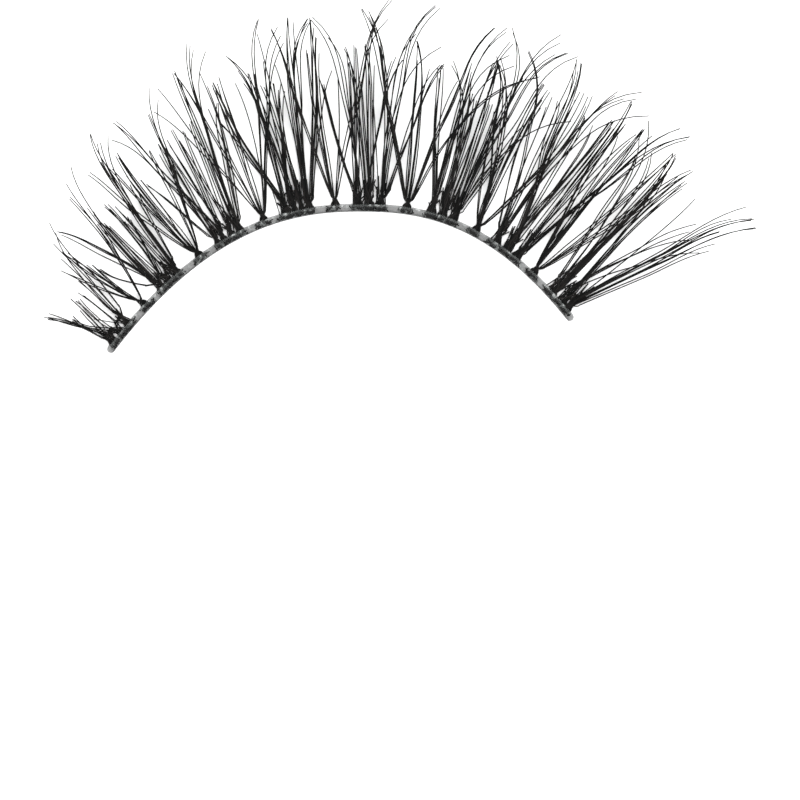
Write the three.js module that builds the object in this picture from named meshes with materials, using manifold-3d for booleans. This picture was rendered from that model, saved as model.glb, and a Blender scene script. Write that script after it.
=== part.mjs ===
// A false eyelash strip, lying as it is laid down: a clear band bent to the edge of the eyelid, and
// thirty-three clusters of lashes knotted along it. The lashes of a cluster leave one knot in locks
// that cross their neighbours' locks, and all of them curl upwards over one rod.
// Millimetres, +Z up. The crown of the band is at the origin with its underside at Z = 0, X runs
// along the band towards the outer corner of the eye, and Y points out along the lashes.

import * as THREE from 'three';
import { mergeVertices } from 'three/addons/utils/BufferGeometryUtils.js';
import Module from 'manifold-3d';

const wasm = await Module();
wasm.setup();

// The band: each half falls behind the crown as a power of its run.
const INNER_RUN = 15.6;           // crown to the inner corner, along X
const INNER_DROP = 8.86;          // how far the inner corner lies behind the crown
const INNER_POWER = 2.3;          // 2 is a parabola, and more is flatter at the crown
const OUTER_RUN = 13.15;
const OUTER_DROP = 6.86;
const OUTER_POWER = 2.42;
const BAND_WIDTH = 0.48;
const BAND_THICKNESS = 0.2;
const BAND_CHAMFER = 0.04;

// The roots: each cluster's hair ends lie side by side on the band as a flat foot under its knot.
const FOOT_THICKNESS = 0.13;
const FOOT_INNER_MARGIN = 0.04;   // bare film behind the roots
const FOOT_OUTER_MARGIN = 0.15;   // bare film between the roots and the lashes' side
const SEAT_GAP = 0.02;            // between the band and what lies on it
const KNOT_LENGTH = 0.36;         // along the band
const KNOT_NOSE = 0.12;           // out past the band's edge
const KNOT_NARROWING = 0.7;

// The lashes
const LONGEST_LASH = 13.0;        // from the band's outer edge, seen from above
const HAIR = 0.09;                // thickness of one hair at its root
const LOCK_THICKNESS = 0.11;      // of a lock of several hairs
const LOCK_SPREAD = 0.75;         // width of a lock, as a share of its hairs laid side by side
const LOCK_TAPER = 2.4;           // how late a lock thins towards its point
const LAYER_GAP = 0.045;          // between the locks of crossing clusters
const LAYER_START = 1.1;          // distance from the band where each lock lies in its own layer
const CURL_START = 3.2;           // distance from the band where the lashes leave the surface
const CURL_RISE = 4.4;            // height of the longest lash's point
const CURL_POWER = 1.8;
const CURL_STEP = 4.2;            // longest straight piece of a curled lock
const POINT_PIECE = 1.05;         // shortest piece at its point

const HAIR_BLACK = { color: 0x1b1a1a, roughness: 0.42, metalness: 0 };
const FILM_CLEAR = { color: 0xb9bab8, roughness: 0.3, metalness: 0, transparent: true, opacity: 0.55 };

// Each cluster's knot and the two ends of its roots are shares of the band's length in per cent, from
// the inner corner. Its locks' columns are the point's share of the band's length, its height as a
// share of the longest lash, the share of the band's length at half that height, and the hairs in it.
const LOCK_COLUMNS = ['tip', 'height', 'middle', 'hairs'];
const CLUSTERS = [
  { knot: 1.3, roots: [0.3, 2.4], layer: 0, locks: [
    [-2.7, 33, -0.2, 5], [-0.9, 24, 0.1, 2], [0.55, 22.6, 0.55, 2], [2.1, 21.5, 1.7, 2],
    [2.65, 28.5, 2.4, 2]] },
  { knot: 3.7, roots: [2.5, 4.5], layer: 1, locks: [
    [0.1, 21.5, 1.0, 3], [3.3, 25, 2.95, 2], [4.15, 27.5, 4.2, 2]] },
  { knot: 5.6, roots: [4.6, 7.0], layer: 2, locks: [
    [5.65, 30.5, 5.35, 3], [6.6, 44, 5.9, 2], [7.5, 52, 6.8, 4], [9.4, 59.5, 7.35, 3],
    [8.0, 40, 7.9, 2]] },
  { knot: 10.2, roots: [9.0, 12.0], layer: 4, locks: [
    [5.1, 40, 7.0, 2], [7.65, 46, 8.15, 5], [8.6, 30, 8.95, 1], [9.2, 31, 9.3, 2], [13.95, 61, 13.1, 2],
    [14.9, 68.5, 13.8, 2], [16.95, 71.5, 14.1, 1]] },
  { knot: 14.5, roots: [13.3, 15.4], layer: 0, locks: [
    [9.3, 54.5, 12.4, 4], [9.15, 28, 10.8, 2], [14.2, 42, 14.1, 2], [14.85, 52, 14.6, 3],
    [15.2, 39, 15.3, 3], [17.8, 37, 16.5, 3]] },
  { knot: 16.2, roots: [15.5, 17.2], layer: 1, locks: [
    [15.1, 42, 15.75, 3], [17.0, 47.5, 17.15, 3]] },
  { knot: 18.4, roots: [17.3, 19.5], layer: 2, locks: [
    [21.5, 77.5, 19.6, 5], [20.3, 60, 19.3, 2], [18.0, 43, 18.25, 2], [21.65, 47, 20.45, 3],
    [20.6, 36, 20.1, 2], [23.05, 72, 19.5, 1]] },
  { knot: 23.5, roots: [22.0, 25.3], layer: 3, locks: [
    [18.05, 63.5, 19.6, 2], [20.6, 55, 21.2, 2], [21.9, 51, 22.0, 1], [22.55, 63, 22.35, 5],
    [23.2, 47, 23.25, 2], [26.3, 55, 25.4, 2], [28.7, 69.5, 26.9, 3], [30.5, 81, 27.5, 3]] },
  { knot: 27.6, roots: [27.0, 28.2], layer: 0, locks: [
    [23.4, 42.5, 25.1, 2], [23.2, 69.5, 26.0, 1], [27.2, 52, 27.1, 2], [28.2, 55, 28.0, 2]] },
  { knot: 28.9, roots: [28.3, 29.6], layer: 1, locks: [
    [24.75, 75.5, 26.5, 3], [29.3, 56, 29.05, 2], [30.2, 57, 29.9, 3]] },
  { knot: 30.5, roots: [29.7, 31.3], layer: 2, locks: [
    [28.9, 55, 29.4, 2], [31.4, 54, 30.5, 2], [32.6, 57, 31.8, 2]] },
  { knot: 32.2, roots: [31.4, 33.0], layer: 0, locks: [
    [33.5, 82, 32.9, 5], [36.05, 92, 34.0, 2], [37.4, 85, 33.9, 1], [36.1, 76, 35.4, 2],
    [36.6, 61, 35.1, 1]] },
  { knot: 36.9, roots: [35.2, 38.0], layer: 4, locks: [
    [31.06, 78.6, 33.0, 1], [29.3, 69, 32.9, 1], [33.55, 81, 34.7, 2], [35.4, 60, 35.7, 1],
    [36.95, 66.5, 36.8, 1], [37.9, 72, 37.5, 3], [39.35, 66, 39.4, 1], [43.35, 92.5, 41.1, 4]] },
  { knot: 41.4, roots: [39.5, 42.0], layer: 0, locks: [
    [37.2, 70, 38.3, 4], [36.15, 50.5, 38.8, 1], [41.0, 70, 41.0, 2], [41.75, 68, 41.5, 2],
    [45.4, 89, 41.9, 3]] },
  { knot: 42.8, roots: [42.1, 43.4], layer: 1, locks: [
    [39.35, 79.6, 41.4, 2], [39.85, 75, 41.5, 2], [43.05, 73, 42.6, 2]] },
  { knot: 44.1, roots: [43.5, 44.7], layer: 2, locks: [
    [43.1, 85, 43.4, 1], [43.6, 62, 43.4, 2], [44.2, 59, 43.7, 2]] },
  { knot: 45.4, roots: [44.8, 46.5], layer: 1, locks: [
    [46.65, 92, 46.1, 5], [48.65, 89, 46.0, 4], [44.15, 70, 44.9, 1], [45.8, 74, 45.1, 1],
    [48.85, 90.5, 48.5, 3], [50.9, 65, 48.3, 1]] },
  { knot: 50.2, roots: [48.5, 51.0], layer: 3, locks: [
    [44.7, 88, 46.3, 3], [48.05, 75, 48.5, 2], [49.25, 80, 49.3, 3], [51.45, 60, 51.3, 2],
    [58.5, 97.5, 54.1, 4]] },
  { knot: 54.4, roots: [53.0, 55.3], layer: 0, locks: [
    [49.4, 62, 51.0, 4], [48.85, 90, 53.1, 2], [50.7, 81, 53.3, 1], [52.7, 76, 54.4, 2],
    [54.0, 75, 54.2, 3]] },
  { knot: 56.4, roots: [55.4, 57.3], layer: 1, locks: [
    [55.65, 76, 56.3, 3], [56.8, 66.5, 56.7, 1], [59.1, 71, 57.6, 2], [60.7, 70, 57.6, 2],
    [54.8, 60, 55.5, 2]] },
  { knot: 58.3, roots: [57.4, 59.5], layer: 2, locks: [
    [57.0, 83.5, 58.7, 2], [63.35, 97, 60.3, 3], [61.2, 84, 59.9, 2], [64.4, 69, 62.3, 3],
    [56.8, 50, 57.4, 1]] },
  { knot: 63.2, roots: [61.8, 64.3], layer: 4, locks: [
    [56.1, 93, 58.8, 4], [62.0, 67, 62.4, 3], [61.75, 80, 63.0, 2], [69.15, 92.5, 66.9, 3],
    [74.75, 79, 67.9, 2], [66.8, 65, 65.4, 1]] },
  { knot: 67.8, roots: [66.5, 68.7], layer: 0, locks: [
    [64.75, 70, 65.8, 5], [70.15, 94.8, 67.9, 2], [72.05, 78.6, 68.0, 2], [67.9, 75, 67.9, 2]] },
  { knot: 69.8, roots: [68.8, 70.7], layer: 1, locks: [
    [66.05, 72, 68.6, 2], [71.0, 75, 70.7, 5], [70.9, 89.4, 69.8, 2]] },
  { knot: 71.8, roots: [70.8, 73.0], layer: 2, locks: [
    [75.05, 101, 73.3, 3], [76.25, 94.5, 73.9, 2], [72.7, 72.5, 72.2, 4], [80.2, 69, 74.2, 2],
    [75.8, 45, 74.6, 2]] },
  { knot: 76.5, roots: [75.0, 77.5], layer: 3, locks: [
    [70.2, 80, 73.6, 6], [70.65, 95, 73.4, 2], [75.5, 77, 75.4, 3], [76.35, 74, 76.2, 3],
    [82.6, 92, 80.5, 2], [80.45, 83.3, 80.2, 3]] },
  { knot: 80.9, roots: [79.0, 81.9], layer: 0, locks: [
    [76.9, 74, 77.2, 2], [72.9, 88, 77.4, 2], [84.65, 99, 82.2, 2], [86.85, 93.4, 82.3, 1],
    [78.2, 75, 79.2, 2]] },
  { knot: 83.1, roots: [82.0, 84.0], layer: 1, locks: [
    [77.75, 95, 80.2, 5], [79.4, 83, 80.5, 3], [81.3, 73, 82.3, 1], [84.1, 80, 84.1, 5]] },
  { knot: 85.1, roots: [84.1, 86.5], layer: 2, locks: [
    [84.8, 76.6, 84.6, 3], [85.5, 82.6, 85.0, 2], [91.9, 98, 88.5, 3], [90.4, 97.8, 88.0, 2],
    [87.3, 82.6, 86.0, 2]] },
  { knot: 89.5, roots: [88.3, 91.0], layer: 4, locks: [
    [84.6, 92, 85.9, 5], [87.55, 86, 88.3, 6], [85.6, 76, 87.5, 1], [95.0, 88, 93.1, 3],
    [91.9, 86, 91.6, 3]] },
  { knot: 94.5, roots: [92.5, 95.5], layer: 0, locks: [
    [87.3, 91, 92.1, 2], [90.05, 80, 93.1, 2], [88.8, 75, 91.2, 2], [92.1, 87.5, 93.8, 5],
    [94.8, 82.5, 94.8, 3]] },
  { knot: 96.8, roots: [95.6, 97.5], layer: 1, locks: [
    [95.65, 82.5, 95.7, 4], [93.9, 83, 94.9, 2], [100.95, 72.5, 98.1, 2], [102.3, 65, 98.1, 2]] },
  { knot: 98.4, roots: [97.6, 99.3], layer: 3, locks: [
    [98.0, 80.5, 98.4, 1], [104.25, 96.8, 100.4, 2], [106.5, 96.8, 101.2, 3], [108.1, 94, 102.2, 3],
    [104.75, 79, 101.7, 2]] },
];

// How finely the curves are cut
const ARCH_STEPS = 1200;
const BAND_STEPS = 36;
const END_STEPS = 4;
const FOOT_STEPS = 2;
const LOCK_SIDES = 3;
const CONE_HALF_WIDTH = Math.sin(2 * Math.PI / LOCK_SIDES);
const CONE_UNDERSIDE = -Math.cos(2 * Math.PI / LOCK_SIDES);
const MERGE = 1e-5;
const NEARBY = 0.01;              // share of a lock by which its direction is measured
const JOIN_TOLERANCE = 0.006;     // a join leaves no sliver finer than this

// A point of the band's centre line, with the directions along it and out towards the lashes.
function archFrame(x) {
  const [run, drop, power] = x < 0
    ? [INNER_RUN, INNER_DROP, INNER_POWER]
    : [OUTER_RUN, OUTER_DROP, OUTER_POWER];
  const share = Math.abs(x) / run;
  const slope = -Math.sign(x) * (drop * power / run) * share ** (power - 1);
  const centre = new THREE.Vector2(x, -drop * share ** power);
  const along = new THREE.Vector2(1, slope).normalize();
  return { centre, along, out: new THREE.Vector2(-along.y, along.x) };
}

// The band's outer edge, walked from the inner corner to the outer one.
function walkEdge() {
  const stops = [];
  let walked = 0;
  for (let step = 0; step <= ARCH_STEPS; step++) {
    const frame = archFrame(-INNER_RUN + (INNER_RUN + OUTER_RUN) * step / ARCH_STEPS);
    const point = frame.centre.clone().addScaledVector(frame.out, BAND_WIDTH / 2);
    if (step > 0) walked += point.distanceTo(stops[step - 1].point);
    stops.push({ ...frame, point, walked });
  }
  return stops;
}
const EDGE = walkEdge();
const EDGE_LENGTH = EDGE[ARCH_STEPS].walked;

// The place at a share of the edge in per cent and a distance out from it. Past the band's ends the
// edge runs on straight.
function place(share, out) {
  const walked = EDGE_LENGTH * share / 100;
  const after = EDGE.findIndex((stop) => stop.walked >= walked);
  const stop = EDGE[after < 0 ? ARCH_STEPS : after];
  return stop.point.clone()
    .addScaledVector(stop.along, walked - stop.walked)
    .addScaledVector(stop.out, out);
}

// A closed geometry with shared vertices, and nothing but positions.
function closed(geometry) {
  geometry.deleteAttribute('normal');
  geometry.deleteAttribute('uv');
  return mergeVertices(geometry, MERGE);
}

function toSolid(geometry) {
  return new wasm.Manifold(new wasm.Mesh({
    numProp: 3,
    vertProperties: new Float32Array(geometry.attributes.position.array),
    triVerts: new Uint32Array(geometry.index.array),
  }));
}

function fromSolid(solid) {
  const { vertProperties, triVerts } = solid.getMesh();
  const geometry = new THREE.BufferGeometry();
  geometry.setAttribute('position', new THREE.BufferAttribute(new Float32Array(vertProperties), 3));
  geometry.setIndex(new THREE.BufferAttribute(new Uint32Array(triVerts), 1));
  return geometry;
}

// The clear band: one flat film with round ends and chamfered edges.
function bandGeometry() {
  const outline = [];
  for (let step = 0; step <= BAND_STEPS; step++) {
    const { centre, out } = archFrame(-INNER_RUN + (INNER_RUN + OUTER_RUN) * step / BAND_STEPS);
    outline.push(centre.addScaledVector(out, BAND_WIDTH / 2));
  }
  const ends = [archFrame(OUTER_RUN), archFrame(-INNER_RUN)];
  const inner = outline.map((_, step) => {
    const { centre, out } = archFrame(OUTER_RUN - (INNER_RUN + OUTER_RUN) * step / BAND_STEPS);
    return centre.addScaledVector(out, -BAND_WIDTH / 2);
  });
  const roundEnd = ({ centre, along, out }, side) => {
    const points = [];
    for (let step = 1; step < END_STEPS; step++) {
      const angle = Math.PI * step / END_STEPS;
      points.push(centre.clone()
        .addScaledVector(out, side * Math.cos(angle) * BAND_WIDTH / 2)
        .addScaledVector(along, side * Math.sin(angle) * BAND_WIDTH / 2));
    }
    return points;
  };
  const shape = new THREE.Shape([...outline, ...roundEnd(ends[0], 1), ...inner, ...roundEnd(ends[1], -1)]);
  const geometry = new THREE.ExtrudeGeometry(shape, {
    depth: BAND_THICKNESS - 2 * BAND_CHAMFER,
    bevelEnabled: true,
    bevelThickness: BAND_CHAMFER,
    bevelSize: BAND_CHAMFER,
    bevelOffset: -BAND_CHAMFER,
    bevelSegments: 1,
  });
  geometry.translate(0, 0, BAND_CHAMFER);
  return closed(geometry);
}

// The flat foot of roots on the band, with the knot as a nose that stands out over the band's edge.
function footSolid(knot, [from, to]) {
  const outline = [];
  for (let step = 0; step <= FOOT_STEPS; step++) {
    outline.push(place(THREE.MathUtils.lerp(from, to, step / FOOT_STEPS), FOOT_INNER_MARGIN - BAND_WIDTH));
  }
  const half = 100 * (KNOT_LENGTH / 2) / EDGE_LENGTH;
  const nose = half * KNOT_NARROWING;
  outline.push(place(to, -FOOT_OUTER_MARGIN), place(knot + half, -FOOT_OUTER_MARGIN));
  outline.push(place(knot + nose, KNOT_NOSE), place(knot - nose, KNOT_NOSE));
  outline.push(place(knot - half, -FOOT_OUTER_MARGIN), place(from, -FOOT_OUTER_MARGIN));
  const shape = new THREE.Shape(outline);
  const geometry = new THREE.ExtrudeGeometry(shape, { depth: FOOT_THICKNESS, bevelEnabled: false });
  geometry.translate(0, 0, BAND_THICKNESS + SEAT_GAP);
  return toSolid(closed(geometry));
}

// Height of the underside of a layer of lashes at a distance out from the band. Every layer has the
// form of the rod that curled it.
const LAYER_STEP = LOCK_THICKNESS + LAYER_GAP;
function undersideAt(out, layer) {
  const knotted = BAND_THICKNESS + SEAT_GAP;
  const laid = layer * LAYER_STEP;
  if (out < LAYER_START) return THREE.MathUtils.lerp(knotted, laid, Math.max(out, 0) / LAYER_START);
  const curled = Math.max(out - CURL_START, 0) / (LONGEST_LASH - CURL_START);
  return laid + CURL_RISE * curled ** CURL_POWER;
}

// Distances from the band where a lock of this length has a section.
function stations(length) {
  const stops = [0, LAYER_START, CURL_START];
  while (stops.at(-1) + CURL_STEP < length) stops.push(stops.at(-1) + CURL_STEP);
  return [...stops.filter((stop) => stop < length - POINT_PIECE), length];
}

// One lock: a cone of three sides with a flat underside, bent from the knot through its middle to its
// point.
function lockSolid(knot, layer, { tip, height, middle, hairs }) {
  const length = LONGEST_LASH * height / 100;
  const stops = stations(length);
  const geometry = closed(new THREE.ConeGeometry(1, 1, LOCK_SIDES, stops.length - 1));
  const position = geometry.attributes.position;
  const width = HAIR * Math.max(hairs * LOCK_SPREAD, 1);
  const thickness = hairs > 1 ? LOCK_THICKNESS : HAIR;
  const middleLine = (share) => {
    const fromKnot = knot * (1 - share) * (1 - 2 * share);
    const throughMiddle = middle * 4 * share * (1 - share);
    const toTip = tip * share * (2 * share - 1);
    return place(fromKnot + throughMiddle + toTip, length * share);
  };
  for (let i = 0; i < position.count; i++) {
    const row = Math.round((position.getY(i) + 0.5) * (stops.length - 1));
    const share = stops[row] / length;
    const evenCone = 1 - row / (stops.length - 1);
    const fullness = evenCone > 0 ? (1 - share ** LOCK_TAPER) / evenCone : 0;
    const centre = middleLine(share);
    const ahead = middleLine(share + NEARBY).sub(middleLine(share - NEARBY)).normalize();
    const aside = position.getX(i) / CONE_HALF_WIDTH * fullness * width / 2;
    const level = (position.getZ(i) + CONE_UNDERSIDE * evenCone) / (1 + CONE_UNDERSIDE);
    position.setXYZ(
      i,
      centre.x + ahead.y * aside,
      centre.y - ahead.x * aside,
      undersideAt(stops[row], layer) + level * fullness * thickness,
    );
  }
  return toSolid(geometry);
}

const strip = new THREE.Group();
strip.name = 'eyelash_strip';

const film = new THREE.MeshStandardMaterial(FILM_CLEAR);
const band = new THREE.Mesh(bandGeometry(), film);
band.name = 'band';
strip.add(band);

const lashes = new THREE.Group();
CLUSTERS.forEach(({ knot, roots, layer, locks }, index) => {
  let solid = footSolid(knot, roots);
  for (const row of locks) {
    const lock = Object.fromEntries(LOCK_COLUMNS.map((column, k) => [column, row[k]]));
    solid = solid.add(lockSolid(knot, layer, lock));
  }
  const geometry = fromSolid(solid.simplify(JOIN_TOLERANCE));
  const cluster = new THREE.Mesh(geometry, new THREE.MeshStandardMaterial(HAIR_BLACK));
  cluster.name = `lash_cluster_${String(index + 1).padStart(2, '0')}`;
  lashes.add(cluster);
});
strip.add(lashes);

export default strip;
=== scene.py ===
import math
import random

import bpy
import numpy as np
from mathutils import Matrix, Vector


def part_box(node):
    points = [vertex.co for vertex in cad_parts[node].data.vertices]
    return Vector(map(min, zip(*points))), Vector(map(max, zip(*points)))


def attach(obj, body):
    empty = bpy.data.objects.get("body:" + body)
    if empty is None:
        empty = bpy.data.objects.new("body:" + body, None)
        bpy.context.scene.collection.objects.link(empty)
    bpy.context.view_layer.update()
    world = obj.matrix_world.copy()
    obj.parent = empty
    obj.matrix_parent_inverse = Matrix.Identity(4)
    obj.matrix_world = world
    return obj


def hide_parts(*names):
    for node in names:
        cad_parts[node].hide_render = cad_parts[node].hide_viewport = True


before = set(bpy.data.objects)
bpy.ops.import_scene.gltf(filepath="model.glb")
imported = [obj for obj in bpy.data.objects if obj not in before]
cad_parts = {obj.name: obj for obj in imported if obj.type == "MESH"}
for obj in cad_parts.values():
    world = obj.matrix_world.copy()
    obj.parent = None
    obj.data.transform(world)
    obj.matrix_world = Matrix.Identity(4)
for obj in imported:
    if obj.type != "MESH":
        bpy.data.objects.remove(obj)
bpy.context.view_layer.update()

# The band
# A narrow film of clear soft acrylic, bent to the edge of the eyelid. The roots of the hairs are
# laminated into it, so it is thicker and lumpy over them, and it ends in two round bare tips.

MM = 0.001
INNER_HALF = {"run": 15.6 * MM, "drop": 8.86 * MM, "power": 2.3}
OUTER_HALF = {"run": 13.15 * MM, "drop": 6.86 * MM, "power": 2.42}
BAND_WIDTH = 0.48 * MM
BAND_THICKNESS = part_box("band")[1].z
FILM_EXTRA = 0.02 * MM            # what the film is wider by, all on the eyelid's side
BAND_SQUARENESS = 0.55            # of its section: 1 is an ellipse, and less is squarer
BAND_BULGE = 0.16 * MM            # how much thicker the film is over the roots
ROOT_FADE = 0.5                   # how softly that ends, in per cent of the band's length
BAND_EDGE_BEAD = 0.05 * MM        # the height of the bead along the lashes' side
BEAD_LINE = (0.7, 0.25)           # its place across the band and its width, in half bands
CLOUD_AND_HIGHLIGHT_LINE = (0.6, 0.25)          # the same for the cloudy film on it, which also carries a painted highlight
EDGE_SHADE_LINE = (-0.95, 0.3)           # and for the painted shade along the cut edge on the eyelid's side
TIP_LEAST = 0.02                  # the tips' end faces, as a share of the band's width
BAND_RINGS = 700
TIP_RINGS = 12                    # more of them, close together, round each tip
BAND_SIDES = 28

# The stretches of the band where roots are laminated, one for each knot, in per cent of its length.
ROOTS = [
    (0.3, 2.4), (2.5, 4.5), (4.6, 7.0), (9.0, 12.0), (13.3, 15.4), (15.5, 17.2), (17.3, 19.5),
    (22.0, 25.3), (27.0, 28.2), (28.3, 29.6), (29.7, 31.3), (31.4, 33.0), (35.2, 38.0), (39.5, 42.0),
    (42.1, 43.4), (43.5, 44.7), (44.8, 46.5), (48.5, 51.0), (53.0, 55.3), (55.4, 57.3), (57.4, 59.5),
    (61.8, 64.3), (66.5, 68.7), (68.8, 70.7), (70.8, 73.0), (75.0, 77.5), (79.0, 81.9), (82.0, 84.0),
    (84.1, 86.5), (88.3, 91.0), (92.5, 95.5), (95.6, 97.5), (97.6, 99.3),
]


def arch(x):
    """The band's centre line at each x, with the directions along it and out towards the lashes."""
    inner = x < 0
    run = np.where(inner, INNER_HALF["run"], OUTER_HALF["run"])
    drop = np.where(inner, INNER_HALF["drop"], OUTER_HALF["drop"])
    power = np.where(inner, INNER_HALF["power"], OUTER_HALF["power"])
    share = np.abs(x) / run
    slope = -np.sign(x) * drop * power / run * share ** (power - 1)
    along = np.stack([np.ones_like(x), slope], 1) / np.hypot(1, slope)[:, None]
    out = np.stack([-along[:, 1], along[:, 0]], 1)
    return np.stack([x, -drop * share**power], 1), along, out


EDGE_STEPS = 6000
EDGE_X = np.linspace(-INNER_HALF["run"], OUTER_HALF["run"], EDGE_STEPS + 1)
edge_centre, _, edge_out = arch(EDGE_X)
edge_points = edge_centre + edge_out * BAND_WIDTH / 2
EDGE_WALKED = np.r_[0, np.cumsum(np.linalg.norm(np.diff(edge_points, axis=0), axis=1))]
EDGE_LENGTH = EDGE_WALKED[-1]


def place(share, out):
    """Points at shares of the band's length in per cent and distances out from its outer edge.
    Past the band's ends the edge runs on straight."""
    walked = np.atleast_1d(np.asarray(share, float)) / 100 * EDGE_LENGTH
    on_band = np.clip(walked, 0, EDGE_LENGTH)
    centre, along, outward = arch(np.interp(on_band, EDGE_WALKED, EDGE_X))
    reach = np.atleast_1d(np.asarray(out, float)) + BAND_WIDTH / 2
    return centre + outward * reach[:, None] + along * (walked - on_band)[:, None]


def laminated(share):
    """1 where roots lie in the band, 0 on bare film, and soft steps between."""
    cover = np.zeros_like(share)
    for low, high in ROOTS:
        inside = np.minimum(share - low, high - share) / ROOT_FADE + 0.5
        cover = np.maximum(cover, np.clip(inside, 0, 1))
    return cover * cover * (3 - 2 * cover)


def lumps(share, across):
    """The film's uneven surface: a few waves of no common length, between -1 and 1. A wave is how
    fast it runs along the band and across it, and where it starts."""
    waves = [(3.1, 2.0, 0.3), (7.7, -3.1, 1.9), (13.9, 5.3, 4.4), (23.3, 1.7, 2.6)]
    return sum(np.sin(a * share + b * across + start) for a, b, start in waves) / len(waves)


def stripe(across, line):
    """1 on a line along the band, and less to either side. The line is its place and its width."""
    return np.exp(-((across - line[0]) / line[1]) ** 2)


def add_mesh(name, points, faces, material, attributes=None):
    """A smooth mesh object from points and faces, with any per-point numbers that its material reads."""
    mesh = bpy.data.meshes.new(name)
    mesh.from_pydata([tuple(p) for p in points], [], faces)
    for key, values in (attributes or {}).items():
        mesh.attributes.new(key, "FLOAT", "POINT").data.foreach_set("value", np.asarray(values, np.float32))
    mesh.shade_smooth()
    mesh.materials.append(material)
    piece = bpy.data.objects.new(name, mesh)
    bpy.context.scene.collection.objects.link(piece)
    return piece


def linear(code):
    """An sRGB hex colour as linear RGBA."""
    parts = [int(code[k:k + 2], 16) / 255 for k in (0, 2, 4)]
    return [p / 12.92 if p <= 0.04045 else ((p + 0.055) / 1.055) ** 2.4 for p in parts] + [1.0]


def add_node(tree, kind, settings=None, links=None):
    """Adds a node. Settings are its properties or its sockets' values, links are what feeds its sockets."""
    node = tree.nodes.new(kind)
    for key, value in (settings or {}).items():
        if isinstance(key, int) or key in node.inputs:
            node.inputs[key].default_value = value
        else:
            setattr(node, key, value)
    for key, source in (links or {}).items():
        tree.links.new(source, node.inputs[key])
    return node


def new_material(name):
    """An empty node material and its tree."""
    material = bpy.data.materials.new(name)
    material.use_nodes = True
    material.node_tree.nodes.clear()
    return material, material.node_tree


# Clear cast acrylic film: it lets most light through, so the roots show in it and a white surface
# under it looks grey. Its dark colour is partly a faint tint and partly painted shade, the grey that
# refraction gives clear film. The poured bead on the lashes' side is cloudy and lighter on top, partly
# milky film and partly a painted highlight, dried adhesive leaves milky flecks of about 0.3 mm, and the
# cut edge on the eyelid's side is darker with painted shade, where the film refracts.
FLECK = 0.3 * MM
film, film_tree = new_material("clear_cast_acrylic_film")
on_film = add_node(film_tree, "ShaderNodeTexCoord").outputs["Object"]
# Cloudy film on the bead, partly milky and partly a painted highlight along its top.
cloud_and_highlight = add_node(film_tree, "ShaderNodeAttribute", {"attribute_name": "cloud_and_highlight"}).outputs["Fac"]
flecks = add_node(film_tree, "ShaderNodeTexNoise", {"Scale": 1 / FLECK, "Detail": 2.0, "Roughness": 0.5},
                  {"Vector": on_film}).outputs["Fac"]
milky = add_node(film_tree, "ShaderNodeMapRange",
                 {"From Min": 0.52, "From Max": 0.68, "To Min": 0.0, "To Max": 0.6},
                 {"Value": flecks}).outputs["Result"]
# Milky flecks together with the bead's cloud and its painted highlight.
haze_and_highlight = add_node(film_tree, "ShaderNodeMath", {"operation": "ADD", "use_clamp": True},
                {0: cloud_and_highlight, 1: milky}).outputs["Value"]
# The film's colour: dark on bare film, partly tint and partly painted shade, and lighter where milky film
# and a painted highlight lie along the bead.
tint_shade_and_highlight = add_node(film_tree, "ShaderNodeValToRGB", links={"Fac": haze_and_highlight})
tint_shade_and_highlight.color_ramp.elements[0].color = linear("1b1c1c")
tint_shade_and_highlight.color_ramp.elements[1].color = linear("c4c7c6")
tint_shade_and_highlight.color_ramp.elements.new(0.55).color = linear("626564")
# Painted shade: the cut edge on the eyelid's side is made darker and more opaque, standing in for
# refraction there.
edge_shade = add_node(film_tree, "ShaderNodeAttribute", {"attribute_name": "edge_shade"}).outputs["Fac"]
hiding = add_node(film_tree, "ShaderNodeMapRange", {"To Min": 0.32, "To Max": 0.56}, {"Value": haze_and_highlight})
with_edge_shade = add_node(film_tree, "ShaderNodeMath", {"operation": "MULTIPLY_ADD", 1: 0.36},
                    {0: edge_shade, 2: hiding.outputs["Result"]})
pits = add_node(film_tree, "ShaderNodeBump", {"Strength": 0.3, "Distance": 0.01 * MM}, {"Height": flecks})
film_surface = add_node(film_tree, "ShaderNodeBsdfPrincipled",
                        {"Roughness": 0.2, "IOR": 1.47, "Specular IOR Level": 0.28},
                        {"Base Color": tint_shade_and_highlight.outputs["Color"], "Alpha": with_edge_shade.outputs["Value"],
                         "Normal": pits.outputs["Normal"]})
add_node(film_tree, "ShaderNodeOutputMaterial", links={"Surface": film_surface.outputs["BSDF"]})

# The film is a row of rings along its length, each the outline of its section.
tip_radius = BAND_WIDTH / 2
centre_line = np.r_[0, np.cumsum(np.linalg.norm(np.diff(edge_centre, axis=0), axis=1))]
stops = np.linspace(-1, 1, BAND_RINGS)
ring_walk = (stops + 1) / 2 * (centre_line[-1] + 2 * tip_radius) - tip_radius
ease = tip_radius * (1 - np.cos(np.linspace(0, math.pi / 2, TIP_RINGS)))
ring_walk = np.unique(np.r_[ring_walk, ease - tip_radius, centre_line[-1] + tip_radius - ease])[1:-1]
on_line = np.clip(ring_walk, 0, centre_line[-1])
past = ring_walk - on_line
ring_centre, ring_along, ring_out = arch(np.interp(on_line, centre_line, EDGE_X))
ring_centre = ring_centre + ring_along * past[:, None]
roundness = np.sqrt(np.clip(1 - (past / tip_radius) ** 2, TIP_LEAST**2, 1))
ring_share = np.interp(on_line, centre_line, EDGE_WALKED) / EDGE_LENGTH * 100
angles = np.linspace(0, 2 * math.pi, BAND_SIDES, endpoint=False)
side = np.sign(np.cos(angles)) * np.abs(np.cos(angles)) ** BAND_SQUARENESS
height = np.sign(np.sin(angles)) * np.abs(np.sin(angles)) ** BAND_SQUARENESS
across = side[None, :] * roundness[:, None]
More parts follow.
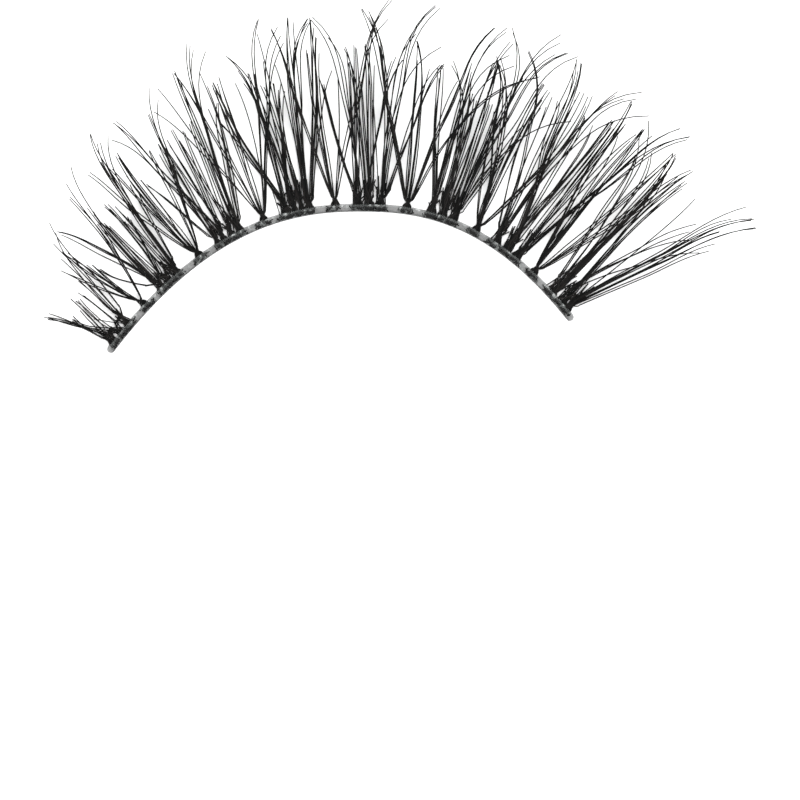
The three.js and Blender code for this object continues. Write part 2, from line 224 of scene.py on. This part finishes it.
upper = np.clip(height, 0, 1)[None, :]
unevenness = lumps(ring_share[:, None], across * 4)
raised = BAND_BULGE * laminated(ring_share)[:, None] * (1 - 0.5 * across**2) * (1 + 0.25 * unevenness)
raised = raised + BAND_EDGE_BEAD * stripe(across, BEAD_LINE) * (0.6 + 0.4 * unevenness)
thickness = BAND_THICKNESS * roundness[:, None] ** 0.5
level = thickness / 2 * (1 + height[None, :]) + upper * raised * roundness[:, None]
outwards = (across * (BAND_WIDTH + FILM_EXTRA) - FILM_EXTRA) / 2
plan = ring_centre[:, None, :] + ring_out[:, None, :] * outwards[:, :, None]
band_points = np.concatenate([plan, level[:, :, None]], 2).reshape(-1, 3)
rings = len(ring_walk)
band_faces = [list(range(BAND_SIDES))]
for ring in range(rings - 1):
    for k in range(BAND_SIDES):
        a, b = ring * BAND_SIDES + k, ring * BAND_SIDES + (k + 1) % BAND_SIDES
        band_faces.append([a, a + BAND_SIDES, b + BAND_SIDES, b])
band_faces.append([(rings - 1) * BAND_SIDES + k for k in reversed(range(BAND_SIDES))])
# Partly milky film and partly a painted highlight, on the upper side of the bead only.
clouded_and_lit = 0.55 * stripe(across, CLOUD_AND_HIGHLIGHT_LINE) * upper * (0.85 + 0.3 * unevenness)
# Painted shade along the cut edge on the eyelid's side.
edge_shaded = stripe(across, EDGE_SHADE_LINE) * (0.8 + 0.4 * unevenness)
band = add_mesh("band_film", band_points, band_faces, film,
                {"cloud_and_highlight": clouded_and_lit.ravel(), "edge_shade": edge_shaded.ravel()})
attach(band, "root")
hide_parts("band")

# The lashes
# Black polyester hairs, drawn to a fine point and curled over a hot rod. A knot gathers five to
# twenty of them at the band's edge, where they cross and fan out in locks, and their roots lie
# folded in the film.

HAIR_RADIUS = 0.038 * MM
FINEST_SHARE = 0.7                # of that radius in the shortest lashes
FULL_LENGTH = 9.5 * MM            # from which a hair has the full radius
POINT_RADIUS = 0.029 * MM
HAIR_TAPER = 8.0                  # how late a hair thins: 1 is a cone, and more is nearer the point
HAIR_SIDES = 6
LASH_STATIONS = 22                # points along a lash, from its knot out
STATION_POWER = 1.2               # how much closer together they are near the knot: 1 is even
LONGEST_LASH = 13.0 * MM
LENGTH_SCATTER = 0.1              # how much shorter than its lock a hair may be
FIRST_SCATTER = 0.2               # of the others' scatter in the first hair of a lock
APART = 0.5                       # the bare film beside a lone knot is wider, in per cent of the band
LONE_MIXING = 8.0                 # how far out of turn a hair may leave a lone knot, in per cent
GROUP_MIXING = 0.7                # and one of a group
LOW_LASH = 20.0                   # up to this height, in per cent, a lash stands beside the knot
LONE_WAIST = (0.4 * MM, 0.52 * MM)     # how far out from the band a lone knot's hairs have crossed
GROUP_WAIST = (0.35 * MM, 1.05 * MM)   # and where knots stand side by side
LONE_FOOT = 0.52 * MM             # a lone knot's width at the band
GROUP_FOOT = 0.62 * MM            # and the width of one in a group
WAIST_PINCH = 0.35                # how much narrower a lone knot is where its hairs cross
PINCH_REACH = 0.4 * MM            # and how soon above it they are back on their lines
KNOT_REACH = 0.7 * MM             # how soon above it they have risen into their layer
WAIST_SPACING = 0.05 * MM         # between the hairs of one lock in a lone knot
GROUP_SPACING = 0.1 * MM          # and in one of a group
LOW_SPACING = 0.14 * MM           # and at a quarter of their height, if the lock stands upright
LEANING_SHARE = 0.5               # of that spacing in a lock whose point is FULL_LEAN to the side
FULL_LEAN = 5.0                   # in per cent of the band's length
NODE_SPACING = 0.08 * MM          # and where they come together, near half their height
MIDDLE_SCATTER = 0.028 * MM       # how far a hair lies out of line there, for each hair of its lock
POINT_SPACING = 0.04 * MM         # between them at their points
POINT_SCATTER = 0.08 * MM         # and how far a hair's point lies beside its lock's
LATE_BEND = 0.9                   # how much nearer its point than evenly the longest hair bends
POINT_HOOK = 0.3 * MM             # how far the longest bows before its last fifth curls back
ROOT_LOOPS = 8                    # short folded ends in the film for each mm of roots
SHORT_LEGS = 10                   # broken hairs at the foot, where knots stand side by side
LEG_LEAN = 1.8                    # how far one leans to either side, in per cent of the band
LEG_HEIGHT = (0.5 * MM, 1.8 * MM)      # the least, and how much more among the longest lashes
LOCK_THICKNESS = 0.11 * MM
LAYER_STEP = LOCK_THICKNESS + 0.045 * MM
LAYER_START = 1.1 * MM            # from here out a lock lies in its layer
CURL_START = 3.2 * MM             # and from here it curls up off the surface
CURL_RISE = 4.4 * MM              # by this much in the longest lash
CURL_POWER = 1.8

# One row for each knot: its place along the band in per cent, the layer that its locks lie in, and
# its locks. A lock is its place along the band at the foot and at the point, its height in per cent
# of the longest lash, its place at half that height, and the number of its hairs.
KNOTS = [
    (1.3, 0, [(2.0, -2.65, 33, 0.0, 3), (1.6, -1.75, 32.5, 0.1, 1), (0.8, -0.9, 24, 0.15, 1),
              (1.1, 0.55, 22.6, 0.4, 1), (1.0, 0.05, 21.7, 0.25, 1), (1.3, 2.15, 21.5, 1.75, 2),
              (1.6, 2.63, 28.5, 2.4, 2)]),
    (3.7, 1, [(4.0, -0.1, 21, 1.3, 2), (3.3, 3.3, 25, 2.85, 2), (4.2, 4.15, 27.5, 4.35, 1),
              (4.6, 4.4, 25, 4.45, 1)]),
    (5.6, 2, [(5.4, 5.7, 31, 5.5, 2), (5.4, 6.5, 44, 6.15, 1), (5.6, 7.5, 52, 6.8, 1),
              (5.7, 9.4, 59.5, 7.3, 1), (5.5, 8.9, 55, 6.2, 1), (6.2, 8.0, 40, 7.6, 2),
              (5.3, 2.4, 13.5, 3.7, 1)]),
    (10.2, 4, [(10.0, 5.1, 40.5, 7.1, 2), (9.9, 7.6, 46, 8.3, 4), (9.8, 8.5, 33, 8.95, 1),
              (9.9, 9.1, 31, 9.25, 2), (10.5, 13.95, 61.5, 13.2, 2), (10.5, 14.95, 68, 13.35, 1),
              (10.7, 16.95, 71.5, 14.05, 1)]),
    (14.5, 0, [(14.7, 9.3, 54.5, 12.45, 3), (14.9, 9.2, 52, 11.7, 1), (14.3, 9.15, 28, 10.9, 2),
              (13.9, 14.2, 43, 13.75, 1), (14.3, 14.4, 41, 14.05, 2), (14.6, 14.85, 52.3, 14.3, 3),
              (14.9, 15.0, 40, 14.8, 2), (15.3, 18.3, 36, 17.1, 2)]),
    (16.2, 1, [(16.0, 15.1, 42, 15.5, 2), (15.6, 16.9, 47.5, 17.0, 3), (17.0, 17.1, 45, 17.15, 1)]),
    (18.4, 2, [(18.5, 21.55, 77.5, 19.5, 3), (18.6, 21.8, 72, 19.45, 1), (18.7, 20.4, 64, 19.4, 2),
              (18.9, 23.1, 72, 19.75, 1), (19.0, 21.5, 47, 20.35, 1), (19.1, 21.9, 44, 20.5, 1),
              (18.9, 21.0, 38, 20.1, 1), (18.2, 17.95, 43.5, 18.05, 2), (17.6, 17.5, 35, 17.45, 2)]),
    (23.5, 3, [(22.9, 18.05, 63.5, 19.85, 2), (23.0, 20.65, 60, 21.35, 2), (22.9, 21.9, 51, 22.1, 1),
              (23.1, 22.55, 62.5, 22.35, 4), (23.5, 23.15, 46, 23.3, 2), (23.9, 26.3, 55, 25.4, 2),
              (24.1, 28.65, 69.5, 27.1, 2), (24.2, 30.35, 80.5, 27.5, 2)]),
    (27.6, 0, [(27.3, 23.4, 42.5, 25.1, 2), (27.6, 23.15, 70, 26.1, 1), (27.4, 27.2, 51, 27.05, 1),
              (27.8, 27.8, 55, 27.6, 2), (28.1, 28.35, 52, 28.1, 2)]),
    (28.9, 1, [(29.2, 24.7, 75.4, 26.5, 3), (28.9, 30.1, 58, 29.85, 2), (29.4, 29.0, 55, 29.1, 2),
              (29.3, 31.3, 55, 30.35, 1)]),
    (30.5, 2, [(30.2, 28.2, 52, 28.9, 1), (30.9, 30.35, 52, 30.5, 2), (30.6, 32.6, 57, 31.8, 2),
              (30.3, 31.4, 54, 30.9, 1)]),
    (32.2, 0, [(31.9, 33.45, 82, 32.95, 4), (32.2, 35.95, 92, 33.85, 2), (32.3, 36.2, 87.5, 33.85, 1),
              (32.3, 37.35, 85, 33.7, 1), (32.5, 36.0, 76.5, 35.4, 2), (32.4, 36.65, 61, 34.5, 2)]),
    (36.9, 4, [(36.6, 31.05, 78.6, 33.0, 1), (36.7, 29.4, 69, 32.9, 1), (36.6, 33.5, 81, 34.75, 2),
              (36.7, 35.3, 60, 35.7, 1), (36.8, 36.95, 66, 36.75, 1), (37.0, 37.4, 68.5, 37.05, 1),
              (37.1, 37.9, 72, 37.5, 2), (37.4, 43.35, 92.5, 41.0, 2), (37.6, 45.35, 89, 41.75, 2),
              (37.6, 45.6, 79.5, 41.5, 1), (37.7, 39.3, 66, 39.4, 1)]),
    (41.4, 0, [(41.7, 37.0, 70, 38.05, 4), (41.6, 36.15, 50.5, 38.5, 2), (41.1, 41.0, 69, 41.15, 2),
              (41.5, 41.8, 68, 41.5, 2), (41.9, 43.7, 62, 43.1, 2), (42.0, 44.6, 62, 43.15, 2),
              (39.97, 39.9, 14, 39.95, 1)]),
    (42.8, 1, [(43.0, 39.3, 80, 42.0, 2), (42.7, 39.9, 75, 41.6, 2), (43.3, 40.3, 66, 41.9, 1),
              (42.6, 43.05, 73, 42.6, 1)]),
    (44.1, 2, [(44.0, 43.05, 87, 43.4, 1), (44.3, 42.2, 62, 43.4, 2), (44.1, 44.2, 59, 43.7, 2)]),
    (45.4, 1, [(45.1, 46.6, 92, 45.95, 4), (45.3, 48.7, 89.5, 45.95, 4), (45.3, 44.2, 70, 44.95, 1),
              (45.0, 45.8, 74, 45.05, 1), (45.8, 48.85, 90.5, 48.2, 3), (45.9, 49.15, 85, 48.1, 2),
              (46.1, 50.9, 65, 48.35, 1)]),
    (50.2, 3, [(49.9, 44.65, 88, 46.35, 3), (49.8, 48.0, 75, 48.45, 2), (50.0, 49.25, 80, 49.1, 3),
              (50.3, 51.6, 60, 51.35, 2), (50.4, 58.45, 97.5, 53.95, 3)]),
    (54.4, 0, [(54.4, 49.3, 62, 50.95, 3), (54.6, 49.7, 58, 51.2, 1), (55.0, 48.9, 90, 52.75, 2),
              (54.6, 50.6, 81, 53.3, 1), (54.0, 52.85, 74, 53.4, 2), (53.9, 53.85, 76, 53.85, 1),
              (54.3, 54.1, 75, 54.35, 2)]),
    (56.4, 1, [(55.9, 52.7, 76, 54.75, 2), (55.6, 53.0, 68, 54.4, 1), (56.6, 54.7, 60, 55.7, 2),
              (56.7, 55.6, 77, 56.3, 3), (56.6, 57.3, 91, 56.0, 1), (57.1, 56.8, 66.5, 56.8, 1),
              (55.5, 59.0, 70, 57.5, 1), (55.5, 59.5, 71, 57.5, 1), (55.6, 60.3, 70, 57.6, 2)]),
    (58.3, 2, [(58.1, 56.65, 50, 57.4, 1), (58.4, 56.9, 84, 58.6, 2), (58.6, 61.2, 84, 59.0, 2),
              (58.7, 63.3, 97, 60.25, 3), (58.7, 64.3, 79.5, 59.4, 1), (59.0, 64.7, 70.5, 62.1, 4),
              (58.9, 63.5, 68, 62.1, 1)]),
    (63.2, 4, [(62.9, 55.05, 93, 58.85, 2), (62.8, 56.05, 92, 58.95, 3), (62.8, 61.85, 77, 62.35, 2),
              (63.5, 61.75, 80, 63.25, 2), (62.9, 62.0, 67, 62.4, 1), (63.2, 62.5, 68, 63.1, 1),
              (63.8, 69.1, 92.5, 66.4, 3), (64.0, 74.7, 79, 67.85, 2), (63.7, 66.8, 65, 65.3, 1)]),
    (67.8, 0, [(68.2, 64.6, 69, 65.75, 5), (67.9, 70.15, 94.7, 68.0, 2), (67.9, 71.2, 83, 68.0, 1),
              (67.9, 72.0, 79, 68.3, 1), (67.8, 67.9, 75, 67.9, 3)]),
    (69.8, 1, [(69.9, 65.9, 72.5, 68.85, 2), (69.4, 70.9, 89.5, 69.55, 2), (69.5, 69.9, 77, 69.65, 1),
              (70.4, 70.4, 78, 70.75, 4), (69.3, 69.0, 60, 69.3, 4),
              (70.1, 68.3, 66, 69.3, 2)]),
    (71.8, 2, [(72.0, 75.05, 101, 72.7, 3), (72.1, 76.2, 94.6, 73.3, 2), (72.2, 77.3, 95.6, 74.4, 1),
              (72.1, 71.8, 71, 72.0, 2), (72.1, 72.8, 72, 72.35, 1), (72.2, 73.3, 75, 72.6, 1),
              (72.2, 80.2, 69, 74.45, 1), (72.4, 76.0, 50, 74.3, 2), (71.6, 71.1, 58, 71.5, 2),
              (72.3, 75.8, 56, 74.0, 1), (71.0, 70.4, 64, 71.0, 1)]),
    (76.5, 3, [(76.7, 70.2, 80, 73.8, 5), (76.5, 70.6, 95, 73.6, 2), (76.1, 71.9, 55, 73.3, 2),
              (76.0, 75.55, 77, 75.25, 3), (76.4, 76.3, 75, 75.95, 3), (77.0, 82.6, 92, 80.65, 2),
              (77.2, 80.45, 83.3, 80.4, 3)]),
    (80.9, 0, [(80.6, 72.85, 88.2, 77.4, 2), (80.4, 76.2, 73, 76.85, 2), (80.6, 77.0, 74, 78.05, 2),
              (80.6, 77.8, 73, 79.3, 2), (80.9, 84.7, 99, 81.4, 2), (80.8, 83.5, 91, 80.85, 1),
              (81.0, 86.85, 93.5, 81.55, 1)]),
    (83.1, 1, [(84.0, 77.7, 95, 80.15, 6), (83.5, 79.35, 82.5, 80.5, 3), (83.2, 81.2, 74, 82.25, 2),
              (83.7, 82.6, 72, 83.5, 2), (82.6, 84.1, 80, 83.85, 4), (83.2, 83.8, 79, 83.8, 1)]),
    (85.1, 2, [(85.0, 84.5, 76.6, 84.8, 3), (85.4, 85.45, 82.6, 85.4, 2), (85.7, 91.9, 98, 88.3, 3),
              (85.6, 90.4, 97.8, 88.0, 2), (85.5, 87.2, 82, 86.3, 2)]),
    (89.5, 4, [(89.2, 84.5, 92.3, 86.05, 4), (89.1, 87.5, 86.5, 88.15, 5), (89.2, 88.6, 86, 88.3, 1),
              (89.3, 85.6, 76, 87.5, 1), (89.9, 92.0, 87.5, 91.6, 3), (90.0, 94.95, 88.3, 93.2, 3)]),
    (94.5, 0, [(94.2, 87.2, 91, 91.8, 2), (93.8, 88.85, 73.5, 91.1, 2), (94.5, 90.0, 80, 93.1, 2),
              (94.8, 92.15, 87, 93.65, 5), (94.9, 93.1, 80, 94.0, 4), (94.2, 94.5, 81, 94.35, 3)]),
    (96.8, 1, [(97.4, 95.6, 82.5, 95.6, 4), (97.0, 94.75, 82, 95.1, 1), (97.2, 92.9, 79, 95.3, 2),
              (95.7, 101.1, 73.5, 98.0, 2), (95.8, 102.7, 68, 97.9, 1), (95.8, 105.4, 66, 99.4, 1)]),
    (98.4, 3, [(98.0, 97.95, 80.5, 98.4, 1), (97.9, 104.2, 96.8, 100.7, 2), (97.9, 106.5, 96.8, 101.3, 3),
              (97.9, 105.9, 92, 101.1, 1), (98.4, 108.1, 94, 102.45, 2), (98.6, 105.95, 75, 102.3, 2),
              (98.2, 104.65, 79.7, 101.5, 2)]),
]

# Black polyester (PBT) monofilament: drawn, so it is smooth along its length, with a low sheen. The
# tone of each hair differs a little from the next, from black to the slightest brown. Its draw
# marks are about 0.02 mm apart, and are drawn 0.15 mm apart so that they show.
DRAW_MARK = 0.15 * MM
fibre, fibre_tree = new_material("black_pbt_monofilament")
tone = add_node(fibre_tree, "ShaderNodeAttribute", {"attribute_name": "tone"}).outputs["Fac"]
on_fibre = add_node(fibre_tree, "ShaderNodeTexCoord").outputs["Object"]
marks = add_node(fibre_tree, "ShaderNodeTexNoise", {"Scale": 1 / DRAW_MARK, "Detail": 2.0},
                 {"Vector": on_fibre}).outputs["Fac"]
shade = add_node(fibre_tree, "ShaderNodeValToRGB", links={"Fac": tone})
shade.color_ramp.elements[0].color = linear("060707")
shade.color_ramp.elements[1].color = linear("1c1a19")
dullness = add_node(fibre_tree, "ShaderNodeMapRange",
                    {"From Min": 0.3, "From Max": 0.7, "To Min": 0.34, "To Max": 0.5}, {"Value": marks})
ripple = add_node(fibre_tree, "ShaderNodeBump", {"Strength": 0.2, "Distance": 0.004 * MM},
                  {"Height": marks})
fibre_surface = add_node(fibre_tree, "ShaderNodeBsdfPrincipled", {"IOR": 1.5, "Specular IOR Level": 0.07},
                         {"Base Color": shade.outputs["Color"], "Roughness": dullness.outputs["Result"],
                          "Normal": ripple.outputs["Normal"]})
add_node(fibre_tree, "ShaderNodeOutputMaterial", links={"Surface": fibre_surface.outputs["BSDF"]})


def underside(out, layer):
    """Height of the underside of a layer of lashes at distances out from the band."""
    laid = layer * LAYER_STEP
    leaving = BAND_THICKNESS + (laid - BAND_THICKNESS) * np.clip(out / LAYER_START, 0, 1)
    curled = np.clip(out - CURL_START, 0, None) / (LONGEST_LASH - CURL_START)
    return leaving + CURL_RISE * curled**CURL_POWER


def smooth_path(points, per_span):
    """A smooth curve through points, with a few steps in each span."""
    padded = np.vstack([2 * points[0] - points[1], points, 2 * points[-1] - points[-2]])
    made = []
    for k in range(1, len(padded) - 2):
        before, start, end, after = padded[k - 1:k + 3]
        for t in np.arange(per_span) / per_span:
            made.append(0.5 * (2 * start + (end - before) * t
                               + (2 * before - 5 * start + 4 * end - after) * t**2
                               + (3 * start - before - 3 * end + after) * t**3))
    return np.array(made + [padded[-2]])


def add_tube(points, faces, path, radii):
    """Adds a round tube along a path to lists of points and faces, with closed ends."""
    ahead = np.gradient(path, axis=0)
    ahead /= np.linalg.norm(ahead, axis=1)[:, None]
    sideways = np.cross(ahead, (0, 0, 1))
    sideways /= np.linalg.norm(sideways, axis=1)[:, None]
    upward = np.cross(sideways, ahead)
    first = len(points)
    for centre, s, u, radius in zip(path, sideways, upward, radii):
        for k in range(HAIR_SIDES):
            turn = 2 * math.pi * k / HAIR_SIDES
            points.append(centre + radius * (math.cos(turn) * s + math.sin(turn) * u))
    for ring in range(len(path) - 1):
        for k in range(HAIR_SIDES):
            a = first + ring * HAIR_SIDES + k
            b = first + ring * HAIR_SIDES + (k + 1) % HAIR_SIDES
            faces.append([a, b, b + HAIR_SIDES, a + HAIR_SIDES])
    faces.append([first + k for k in reversed(range(HAIR_SIDES))])
    faces.append([first + (len(path) - 1) * HAIR_SIDES + k for k in range(HAIR_SIDES)])


def lash_path(knot, layer, roots, alone, leaving, lock, rank, seeded):
    """The path of one hair: folded root, way through the knot, and curled lash to its point."""
    foot, tip, height, middle, hairs = lock
    several = hairs > 1
    scatter = 1 if rank else FIRST_SCATTER
    length = LONGEST_LASH * height / 100 * (1 - LENGTH_SCATTER * scatter * seeded.random() ** 2)
    to_share = 100 / EDGE_LENGTH
    waist = seeded.uniform(*(LONE_WAIST if alone else GROUP_WAIST))
    grown = np.linspace(0, 1, LASH_STATIONS) ** STATION_POWER
    outs = waist + (length - waist) * grown
    t = outs / length
    springy = (height / 100) ** 2
    power = 2 + LATE_BEND * springy
    bend = (middle - (foot + tip) / 2) / (0.5**power - 0.5)
    shares = foot + (tip - foot - bend) * t + bend * t**power
    order = rank - (hairs - 1) / 2 + seeded.uniform(-0.4, 0.4) * several
    at_waist = order * (WAIST_SPACING if alone else GROUP_SPACING * min(1, 3 / hairs))
    loose = 1 - (1 - LEANING_SHARE) * min(abs(tip - foot) / FULL_LEAN, 1)
    at_quarter = order * LOW_SPACING * loose * min(1, 3 / hairs)
    at_middle = order * NODE_SPACING + seeded.uniform(-1, 1) * MIDDLE_SCATTER * hairs * several
    at_point = order * POINT_SPACING + seeded.uniform(-1, 1) * POINT_SCATTER * scatter
    beside = np.interp(grown, [0, 0.18, 0.28, 0.5, 0.7, 1],
                       [at_waist, at_quarter, at_quarter, at_middle, at_middle, at_point])
    upper = np.clip(2 * grown - 1, 0, 1)
    hook = POINT_HOOK * springy * min(max((tip - middle) / 3, -1), 1) * seeded.uniform(0.6, 1.2)
    bow = 6.75 * upper**2 * (1 - upper)      # 6.75 brings its greatest value to 1
    beside = beside - hook * bow
    pinch = 1 - WAIST_PINCH * alone * np.exp(-(outs - waist) / PINCH_REACH)
    shares = knot + (shares + beside * to_share - knot) * pinch
    plan = place(shares, outs)
    gathered = np.exp(-(outs - waist) / KNOT_REACH)
    lifted = underside(outs, layer) + HAIR_RADIUS + seeded.uniform(0, LOCK_THICKNESS - 2 * HAIR_RADIUS)
    knotted = BAND_THICKNESS * 0.5 + seeded.uniform(0, 0.2) * MM
    lash = np.c_[plan, knotted * gathered + lifted * (1 - gathered)]
    end_share = seeded.uniform(*roots)
    bend_share = end_share + (leaving - end_share) * seeded.uniform(0.4, 0.8)
    ends = [end_share, bend_share, leaving, leaving + 0.2 * (shares[0] - leaving)]
    depths = [-seeded.uniform(0.16, 0.42), -seeded.uniform(0.2, 0.42), -0.05, 0.16]
    heights = [BAND_THICKNESS * 0.55 + seeded.uniform(0, 0.12) * MM for _ in ends]
    root = np.c_[place(ends, np.array(depths) * MM), heights]
    return np.vstack([smooth_path(np.vstack([root, lash[:2]]), 4)[:-1], lash[1:]])


def loop_path(roots, seeded):
    """A short end of hair folded over in the film, mostly along it."""
    start = seeded.uniform(roots[0], roots[1])
    past = seeded.uniform(-0.3, 0.4)
    shares = [min(max(start + reach + seeded.uniform(-0.4, 0.4), roots[0] - past), roots[1] + past)
              for reach in (-1.2, -0.4, 0.4, 1.2)]
    depths = np.array([-seeded.uniform(0.08, 0.46) for _ in shares]) * MM
    heights = [BAND_THICKNESS * 0.6 + seeded.uniform(0, 0.12) * MM for _ in shares]
    return smooth_path(np.c_[place(shares, depths), heights], 3)


def leg_path(roots, reach, tallest, seeded):
    """A short broken hair that crosses the feet of its neighbours."""
    start = seeded.uniform(roots[0] + 0.2, roots[1] - 0.2)
    end = seeded.uniform(max(start - LEG_LEAN, reach[0]), min(start + LEG_LEAN, reach[1]))
    grown = LEG_HEIGHT[0] + LEG_HEIGHT[1] * (tallest / 100) ** 2 * seeded.random()
    depths = np.array([-0.2 * MM, -0.02 * MM, grown])
    heights = [BAND_THICKNESS * 0.6 + seeded.uniform(0, 0.14) * MM for _ in depths]
    return smooth_path(np.c_[place([start, start, end], depths), heights], 4)


seeded = random.Random(7)
for number, ((knot, layer, locks), roots) in enumerate(zip(KNOTS, ROOTS), 1):
    before_it = ROOTS[number - 2][1] if number > 1 else -math.inf
    after_it = ROOTS[number][0] if number < len(ROOTS) else math.inf
    free_sides = roots[0] - before_it > APART, after_it - roots[1] > APART
    alone = all(free_sides)
    # Broken hairs end inside the roots on a free side, and may reach over to a neighbour.
    inset = [0.3 if free else -0.5 for free in free_sides]
    reach = roots[0] + inset[0], roots[1] - inset[1]
    root_width = (roots[1] - roots[0]) / 100 * EDGE_LENGTH
    hairs = [(lock, rank) for lock in locks for rank in range(lock[4])]
    mixing = LONE_MIXING if alone else GROUP_MIXING
    crossing = sorted(hairs, key=lambda hair: seeded.uniform(-mixing, mixing) - hair[0][3])
    foot_width = min(LONE_FOOT if alone else GROUP_FOOT, root_width)
    first, last = np.array([-0.5, 0.5]) * foot_width * 100 / EDGE_LENGTH + knot
    paths = []
    for lock, rank in hairs:
        leaving = first + (last - first) * (crossing.index((lock, rank)) + 0.5) / len(hairs)
        leaving = leaving if lock[2] > LOW_LASH else lock[0]
        paths.append(lash_path(knot, layer, roots, alone, leaving, lock, rank, seeded))
    loops = [loop_path(roots, seeded) for _ in range(round(ROOT_LOOPS * root_width / MM))]
    tallest = max(lock[2] for lock in locks)
    loops += [leg_path(roots, reach, tallest, seeded) for _ in range(0 if alone else SHORT_LEGS)]
    points, faces, tones = [], [], []
    for path in paths + loops:
        walked = np.r_[0, np.cumsum(np.linalg.norm(np.diff(path, axis=0), axis=1))]
        lash = len(path) > LASH_STATIONS
        radius = HAIR_RADIUS * (1 - lash * (1 - FINEST_SHARE) * max(1 - walked[-1] / FULL_LENGTH, 0))
        thinning = (walked / walked[-1]) ** HAIR_TAPER * lash
        before = len(points)
        add_tube(points, faces, path, radius + (min(POINT_RADIUS, radius) - radius) * thinning)
        tones += [seeded.random() ** 2] * (len(points) - before)
    cluster = add_mesh(f"lashes_{number:02d}", points, faces, fibre, {"tone": tones})
    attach(cluster, "root")
    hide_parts(f"lash_cluster_{number:02d}")

# The surface, light and camera
# The strip lies on a plain white matt board under a wide soft light, and the camera looks straight
# down on it.

# Matt coated white board: a rough, very light surface with a fine tooth of about 0.3 mm.
TOOTH = 0.3 * MM
board_white, board_tree = new_material("matt_white_board")
on_board = add_node(board_tree, "ShaderNodeTexCoord").outputs["Object"]
tooth = add_node(board_tree, "ShaderNodeTexNoise", {"Scale": 1 / TOOTH, "Detail": 2.0},
                 {"Vector": on_board}).outputs["Fac"]
grain = add_node(board_tree, "ShaderNodeBump", {"Strength": 0.05, "Distance": 0.01 * MM},
                 {"Height": tooth})
board_surface = add_node(board_tree, "ShaderNodeBsdfPrincipled",
                         {"Base Color": linear("f6f6f6"), "Roughness": 0.9, "Specular IOR Level": 0.2},
                         {"Normal": grain.outputs["Normal"]})
add_node(board_tree, "ShaderNodeOutputMaterial", links={"Surface": board_surface.outputs["BSDF"]})
BOARD_SIZE = 3.0                  # metres, so that it fills every view
BOARD_DROP = 0.01 * MM            # below the strip, so that the two don't share a face
half = BOARD_SIZE / 2
corners = [(-half, -half, -BOARD_DROP), (half, -half, -BOARD_DROP), (half, half, -BOARD_DROP),
           (-half, half, -BOARD_DROP)]
board = add_mesh("board", corners, [[0, 1, 2, 3]], board_white)

world = bpy.data.worlds.new("studio")
world.use_nodes = True
bpy.context.scene.world = world
sky = next(n for n in world.node_tree.nodes if n.type == "BACKGROUND")
sky.inputs["Color"].default_value = linear("ffffff")
sky.inputs["Strength"].default_value = 1.5

# Each light is its name, its place and width in metres, and its watts.
LIGHTS = [("softbox_over", (0.25, 0.35, 0.9), 0.9, 6.0), ("softbox_front", (-0.5, -0.6, 0.7), 0.6, 2.0)]
for name, spot, width, watts in LIGHTS:
    lamp = bpy.data.lights.new(name, "AREA")
    lamp.shape, lamp.size, lamp.energy = "DISK", width, watts
    holder = bpy.data.objects.new(name, lamp)
    holder.location = spot
    toward = -np.array(spot)
    holder.rotation_euler = (math.acos(-toward[2] / np.linalg.norm(toward)), 0,
                             math.atan2(toward[1], toward[0]) - math.pi / 2)
    bpy.context.scene.collection.objects.link(holder)

PHOTO_SIDE = 50.08 * MM           # what the photograph's 800 pixels take in, at the board
PHOTO_MIDDLE = (2.504 * MM, -12.05 * MM)
LENS = 600.0                      # mm, so long that every lash is seen straight from above
SENSOR = 36.0
camera_data = bpy.data.cameras.new("camera")
camera_data.lens = LENS
camera_data.sensor_width = SENSOR
camera_data.clip_start, camera_data.clip_end = 0.01, 10.0
camera = bpy.data.objects.new("camera", camera_data)
camera.location = (*PHOTO_MIDDLE, PHOTO_SIDE * LENS / SENSOR)
bpy.context.scene.collection.objects.link(camera)
bpy.context.scene.camera = camera
bpy.context.scene.view_settings.view_transform = "Standard"
